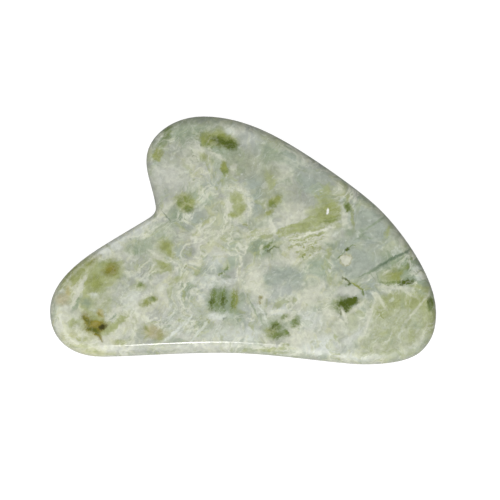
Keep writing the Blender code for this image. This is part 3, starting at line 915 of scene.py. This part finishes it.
def polish(graph, place, colour, shader):
    """The polish: duller over the dark green, with hairline scratches and a few tiny pits."""
    waves = graph.noise(place, 0.25, detail=3.0)
    roughness = graph.ramp(waves, 0.35, 0.65, low=SMOOTHEST, high=DULLEST)
    brightness = graph.add("RGBToBW", {0: colour}).outputs[0]
    roughness = graph.math("ADD", roughness, graph.ramp(brightness, 0.4, 0.1, high=DARK_DULLING))
    for turn, start in SCRATCHES:
        along = stretched(graph, graph.vector("ADD", place, start), turn, SCRATCH_STRETCH, 1.0)
        lines = graph.threads(along, 0.5, 1.0, SCRATCH_WIDTH)
        roughness = graph.math("ADD", roughness, graph.math("MULTIPLY", lines, SCRATCH_DULLING))
    graph.tree.links.new(roughness, shader.inputs["Roughness"])

    cells = graph.add("TexVoronoi", {"Vector": place, "Scale": 0.45}).outputs["Distance"]
    height = graph.math("SUBTRACT", 1.0, graph.ramp(cells, 0.08, 0.03))
    bump = graph.add("Bump", {"Height": height, "Strength": 1.0, "Distance": PIT_DEPTH})
    graph.tree.links.new(bump.outputs["Normal"], shader.inputs["Normal"])


def jade():
    """The stone, as one solid pattern that runs through the board."""
    material = bpy.data.materials.new(SLOT)
    material.use_nodes = True
    graph = Graph(material.node_tree)
    shader = material.node_tree.nodes["Principled BSDF"]

    place = graph.scaled(graph.add("TexCoord").outputs["Object"], 1 / MM)
    drift = pushed(graph, place, 0.5, 0.65, 2.8)
    ragged = pushed(graph, pushed(graph, place, 0.8, 0.6, 2.0), 2.2, 0.6, 0.9)
    colour, feathers = ground_colour(graph, place, drift)
    colour = green_stone(graph, place, drift, ragged, colour, feathers)

    frost = graph.noise(drift, 0.9, detail=4.0, roughness=0.55)
    shade = graph.scaled((1, 1, 1), graph.ramp(frost, 0.3, 0.7, low=0.89, high=1.1))
    colour = graph.mix(1.0, colour, shade, blend="MULTIPLY")
    graph.tree.links.new(colour, shader.inputs["Base Color"])

    polish(graph, place, colour, shader)
    shader.inputs["IOR"].default_value = IOR
    shader.inputs["Subsurface Weight"].default_value = SCATTER_WEIGHT
    shader.inputs["Subsurface Radius"].default_value = SCATTER_RADIUS
    shader.inputs["Subsurface Scale"].default_value = SCATTER_SCALE
    return material


# ---------------------------------------------------------------- the studio


def hang(softbox):
    """A rectangular light that the camera doesn't see, aimed at a point."""
    light = bpy.data.lights.new(softbox.name, "AREA")
    light.shape = "RECTANGLE"
    light.size = softbox.width
    light.size_y = softbox.height
    light.energy = softbox.power
    lamp = bpy.data.objects.new(softbox.name, light)
    lamp.location = softbox.place
    aim = Vector(softbox.target) - Vector(softbox.place)
    lamp.rotation_euler = aim.to_track_quat("-Z", "Y").to_euler()
    lamp.visible_camera = False
    bpy.context.scene.collection.objects.link(lamp)


def lay_floor():
    """A pale floor that glows, so that it stays plain white with hardly a shadow."""
    mesh = bpy.data.meshes.new("floor")
    half = FLOOR_SIZE / 2
    corners = [(-half, -half, 0), (half, -half, 0), (half, half, 0), (-half, half, 0)]
    mesh.from_pydata(corners, [], [(0, 1, 2, 3)])
    floor = bpy.data.objects.new("floor", mesh)
    floor.location.z = LOW.z - FLOOR_DROP
    bpy.context.scene.collection.objects.link(floor)

    white = bpy.data.materials.new("white_floor")
    white.use_nodes = True
    surface = white.node_tree.nodes["Principled BSDF"]
    surface.inputs["Base Color"].default_value = (FLOOR_ALBEDO, FLOOR_ALBEDO, FLOOR_ALBEDO, 1)
    surface.inputs["Roughness"].default_value = FLOOR_ROUGHNESS
    surface.inputs["Specular IOR Level"].default_value = 0.0
    surface.inputs["Emission Color"].default_value = WHITE
    surface.inputs["Emission Strength"].default_value = FLOOR_GLOW
    mesh.materials.append(white)

    # The stone mirrors darker surroundings than the floor, which gives its rims their depth
    floor.visible_diffuse = False
    floor.visible_glossy = False
    floor.visible_transmission = False


def surroundings():
    """A soft white world, brightest high in front, but dark straight above, where the faces mirror it."""
    world = bpy.data.worlds.new("studio")
    bpy.context.scene.world = world
    world.use_nodes = True
    graph = Graph(world.node_tree)
    background = world.node_tree.nodes["Background"]
    direction = graph.add("TexCoord").outputs["Generated"]
    parts = graph.add("SeparateXYZ", {"Vector": direction}).outputs
    strength = graph.ramp(parts["Z"], **OVERHEAD)
    strength = graph.math("MULTIPLY", strength, graph.ramp(parts["Y"], **TO_THE_BACK))
    strength = graph.math("MULTIPLY", strength, graph.ramp(parts["Z"], **UPWARDS))
    sideways = graph.math("ABSOLUTE", parts["X"])
    strength = graph.math("MULTIPLY", strength, graph.ramp(sideways, **TO_THE_SIDES))
    strength = graph.math("MULTIPLY", strength, WORLD_STRENGTH)
    graph.tree.links.new(strength, background.inputs["Strength"])
    background.inputs["Color"].default_value = WHITE


def camera():
    data = bpy.data.cameras.new("camera")
    data.sensor_width = SENSOR
    data.lens = SENSOR * CAMERA_HEIGHT / FRAME_WIDTH
    data.clip_start = 0.01
    data.clip_end = 10
    view = bpy.data.objects.new("camera", data)
    view.location = FRAME_CENTRE + Vector((0, 0, LOW.z + THICKNESS / 2 + CAMERA_HEIGHT))
    bpy.context.scene.collection.objects.link(view)
    bpy.context.scene.camera = view


def main():
    outline = evenly_spaced(outline_of(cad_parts[BOARD], LOW.z + THICKNESS / 2), OUTLINE_POINTS)
    board = bpy.data.objects.new("jade_board", board_mesh(outline))
    bpy.context.scene.collection.objects.link(board)
    board.data.materials.append(jade())
    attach(board, "root")
    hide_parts(BOARD)
    lay_floor()
    for softbox in SOFTBOXES:
        hang(softbox)
    surroundings()
    camera()
    bpy.context.scene.view_settings.view_transform = "Standard"


main()
